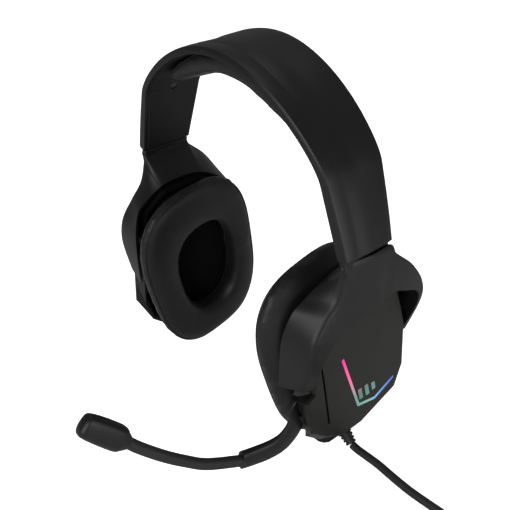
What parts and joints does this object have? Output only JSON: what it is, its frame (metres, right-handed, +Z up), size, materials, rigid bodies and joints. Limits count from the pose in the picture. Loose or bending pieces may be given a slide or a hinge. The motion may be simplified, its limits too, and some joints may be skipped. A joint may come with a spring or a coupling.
{
  "type": "gaming headset",
  "caption": "Over-ear gaming headset with a padded arched headband, forked yokes, padded ear cups with lit outer faces, a boom microphone and a USB cord.",
  "frame": {"origin": "centre of the bottom of the headset's box, without its cord, on the surface that the ear cups stand on", "axes": "+Z up to the crown of the headband, +X towards the wearer's left ear, -Y towards the wearer's front, where the microphone points"},
  "size_m": [0.3146, 0.1854, 0.2095],
  "materials": {
    "satin_black_plastic": "satin",
    "inner_black_plastic": "matte",
    "leatherette": "soft padded leatherette",
    "spring_steel": "brushed",
    "dark_steel": "blackened",
    "bright_steel": "plated",
    "faceplate_grey": "semi-gloss",
    "light_guide": "translucent, lit in rainbow colours",
    "circuit_board": "solder mask",
    "driver_film": "thin film",
    "black_cloth": "woven",
    "black_rubber": "matte"
  },
  "bodies": {
    "headband": {"headband_shell": "satin_black_plastic", "headband_liner": "inner_black_plastic", "headband_pad": "leatherette", "headband_spring": "spring_steel", "crossover_wire": "black_rubber", "headband_screw_left": "dark_steel", "headband_screw_right": "dark_steel"},
    "left_slider": {"left_slider_stem": "spring_steel", "left_slider_screw": "dark_steel", "left_yoke": "satin_black_plastic", "left_pivot_pin_front": "bright_steel", "left_pivot_pin_rear": "bright_steel"},
    "right_slider": {"right_slider_stem": "spring_steel", "right_slider_screw": "dark_steel", "right_yoke": "satin_black_plastic", "right_pivot_pin_front": "bright_steel", "right_pivot_pin_rear": "bright_steel"},
    "left_cup": {"left_ear_cushion": "leatherette", "left_cushion_carrier": "inner_black_plastic", "left_ear_cloth": "black_cloth", "left_baffle": "inner_black_plastic", "left_driver_diaphragm": "driver_film", "left_driver_frame": "dark_steel", "left_driver_magnet": "bright_steel", "left_cup_shell": "satin_black_plastic", "left_led_board": "circuit_board", "left_light_guide": "light_guide", "left_faceplate": "faceplate_grey", "left_cup_screw_upper": "dark_steel", "left_cup_screw_lower": "dark_steel", "main_board": "circuit_board", "strain_relief": "black_rubber", "usb_cord": "black_rubber", "usb_cord_coil": "black_rubber", "cord_tie": "inner_black_plastic", "usb_cord_tail": "black_rubber", "usb_plug_body": "black_rubber", "usb_plug_shell": "bright_steel"},
    "right_cup": {"right_ear_cushion": "leatherette", "right_cushion_carrier": "inner_black_plastic", "right_ear_cloth": "black_cloth", "right_baffle": "inner_black_plastic", "right_driver_diaphragm": "driver_film", "right_driver_frame": "dark_steel", "right_driver_magnet": "bright_steel", "right_cup_shell": "satin_black_plastic", "right_led_board": "circuit_board", "right_light_guide": "light_guide", "right_faceplate": "faceplate_grey", "right_cup_screw_upper": "dark_steel", "right_cup_screw_lower": "dark_steel"},
    "volume_wheel": {"volume_wheel": "black_rubber"},
    "mute_button": {"mute_button": "black_rubber"},
    "mic_arm": {"mic_arm": "satin_black_plastic"},
    "mic_boom": {"mic_boom": "black_rubber", "mic_head": "satin_black_plastic", "mic_capsule": "bright_steel", "mic_grille": "black_cloth"}
  },
  "joints": [
    {"name": "slider_left", "type": "slide", "parent": "headband", "child": "left_slider", "axis": [0.2672, 0, -0.9636], "range_m": [0, 0.024]},
    {"name": "slider_right", "type": "slide", "parent": "headband", "child": "right_slider", "axis": [-0.2672, 0, -0.9636], "range_m": [0, 0.024]},
    {"name": "cup_tilt_left", "type": "hinge", "parent": "left_slider", "child": "left_cup", "pos_m": [0.06884, 0.04963, 0.06954], "axis": [0, 1, 0], "range_deg": [-6, 4]},
    {"name": "cup_tilt_right", "type": "hinge", "parent": "right_slider", "child": "right_cup", "pos_m": [-0.06884, 0.04963, 0.06954], "axis": [0, -1, 0], "range_deg": [-6, 4]},
    {"name": "mic_swivel", "type": "hinge", "parent": "left_cup", "child": "mic_arm", "pos_m": [0.0689, 0.01763, 0.0415], "axis": [-0.9986, 0, -0.0523], "range_deg": [-20, 60]},
    {"name": "mic_bend", "type": "hinge", "parent": "mic_arm", "child": "mic_boom", "pos_m": [0.0638, -0.01867, 0.0248], "axis": [0, 0, 1], "range_deg": [-20, 20]},
    {"name": "volume_wheel", "type": "hinge", "parent": "left_cup", "child": "volume_wheel", "pos_m": [0.06978, 0.08113, 0.05156], "axis": [0.9986, 0, 0.0523], "range_deg": [-135, 135]},
    {"name": "mute_button", "type": "slide", "parent": "left_cup", "child": "mute_button", "axis": [0, -1, 0], "range_m": [0, 0.001], "stiffness_N_per_m": 800}
  ]
}
